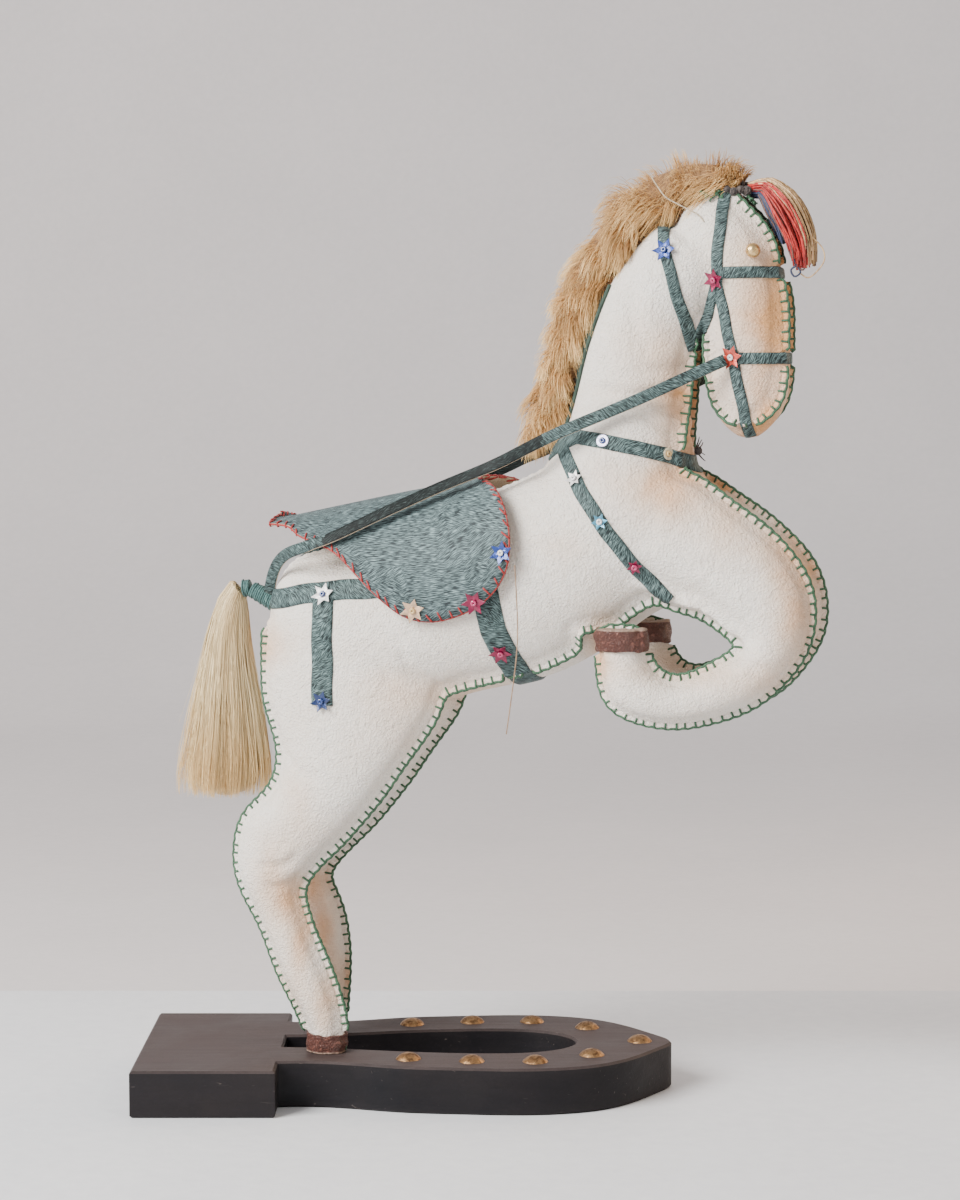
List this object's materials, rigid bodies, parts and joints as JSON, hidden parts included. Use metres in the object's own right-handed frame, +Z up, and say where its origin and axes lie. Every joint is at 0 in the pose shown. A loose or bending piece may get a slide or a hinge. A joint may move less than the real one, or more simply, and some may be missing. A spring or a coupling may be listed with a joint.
{
  "type": "stuffed leather rearing pony",
  "caption": "Stitched and stuffed leather pony ornament rearing on a horseshoe-shaped wooden base, with painted leather tack, fur mane and hair tail.",
  "frame": {"origin": "on the underside of the base, at the middle of its length and width", "axes": "+Z up; +X towards the toe of the horseshoe base, the way the pony faces, give or take its 15 degree turn; +Y to the pony's left"},
  "size_m": [0.291, 0.137, 0.4005],
  "materials": {
    "dark_wood": "dark painted and rubbed",
    "brass": "aged",
    "steel_wire": "plain",
    "stuffing": "packed wool",
    "white_leather": "fine grain, soft",
    "brown_leather": "worn",
    "teal_leather": "painted and streaked",
    "teal_saddle": "painted and streaked",
    "gold_fur": "short pile",
    "flax_hair": "fine strands",
    "tassel_thread": "wool",
    "gold_bead": "polished",
    "star_sequin": "mixed colours, shiny",
    "seed_bead": "clear",
    "thread": "waxed"
  },
  "bodies": {
    "root": {"back_rod": "steel_wire", "base_board": "dark_wood", "belly_gusset": "white_leather", "brass_tacks": "brass", "breast_collar": "teal_leather", "breast_strap_left": "teal_leather", "breast_strap_right": "teal_leather", "browband": "teal_leather", "cheek_strap_left": "teal_leather", "cheek_strap_right": "teal_leather", "chin_strap_left": "teal_leather", "chin_strap_right": "teal_leather", "collar_knot": "brown_leather", "crupper": "teal_leather", "eye_bead_left": "gold_bead", "eye_bead_right": "gold_bead", "face_gusset": "white_leather", "foreleg_wire_left": "steel_wire", "foreleg_wire_right": "steel_wire", "girth": "teal_leather", "hip_drop_strap_left": "teal_leather", "hip_drop_strap_right": "teal_leather", "hip_strap_left": "teal_leather", "hip_strap_right": "teal_leather", "hoof_band_fore_left": "brown_leather", "hoof_band_fore_right": "brown_leather", "hoof_band_hind_left": "brown_leather", "hoof_band_hind_right": "brown_leather", "jaw_strap_left": "teal_leather", "jaw_strap_right": "teal_leather", "leg_rod_left": "steel_wire", "leg_rod_right": "steel_wire", "loose_thread": "thread", "mane": "gold_fur", "noseband": "teal_leather", "rein_left": "teal_leather", "rein_right": "teal_leather", "saddle_cloth": "teal_saddle", "seed_beads_left": "seed_bead", "seed_beads_right": "seed_bead", "side_panel_left": "white_leather", "side_panel_right": "white_leather", "star_sequins_left": "star_sequin", "star_sequins_right": "star_sequin", "stuffing_foreleg_left": "stuffing", "stuffing_foreleg_right": "stuffing", "stuffing_head": "stuffing", "stuffing_hind_leg_left": "stuffing", "stuffing_hind_leg_right": "stuffing", "stuffing_neck": "stuffing", "stuffing_trunk": "stuffing", "throat_gusset": "white_leather", "throat_strap_left": "teal_leather", "throat_strap_right": "teal_leather"},
    "tail_binding": {"tail_binding": "teal_leather"},
    "tail_hair": {"tail_hair": "flax_hair"},
    "tassel": {"forelock_tassel": "tassel_thread"}
  },
  "joints": [
    {"name": "tail_sway", "type": "hinge", "parent": "root", "child": "tail_binding", "pos_m": [-0.06886, 0.00867, 0.2185], "axis": [0.9659, -0.2588, 0], "range_deg": [-25, 25]},
    {"name": "tail_lift", "type": "hinge", "parent": "tail_binding", "child": "tail_hair", "pos_m": [-0.07079, 0.00919, 0.2185], "axis": [0.2588, 0.9659, 0], "range_deg": [0, 60]},
    {"name": "tassel_lift", "type": "hinge", "parent": "root", "child": "tassel", "pos_m": [0.14171, -0.04775, 0.39], "axis": [-0.2588, -0.9659, 0], "range_deg": [0, 25]}
  ]
}
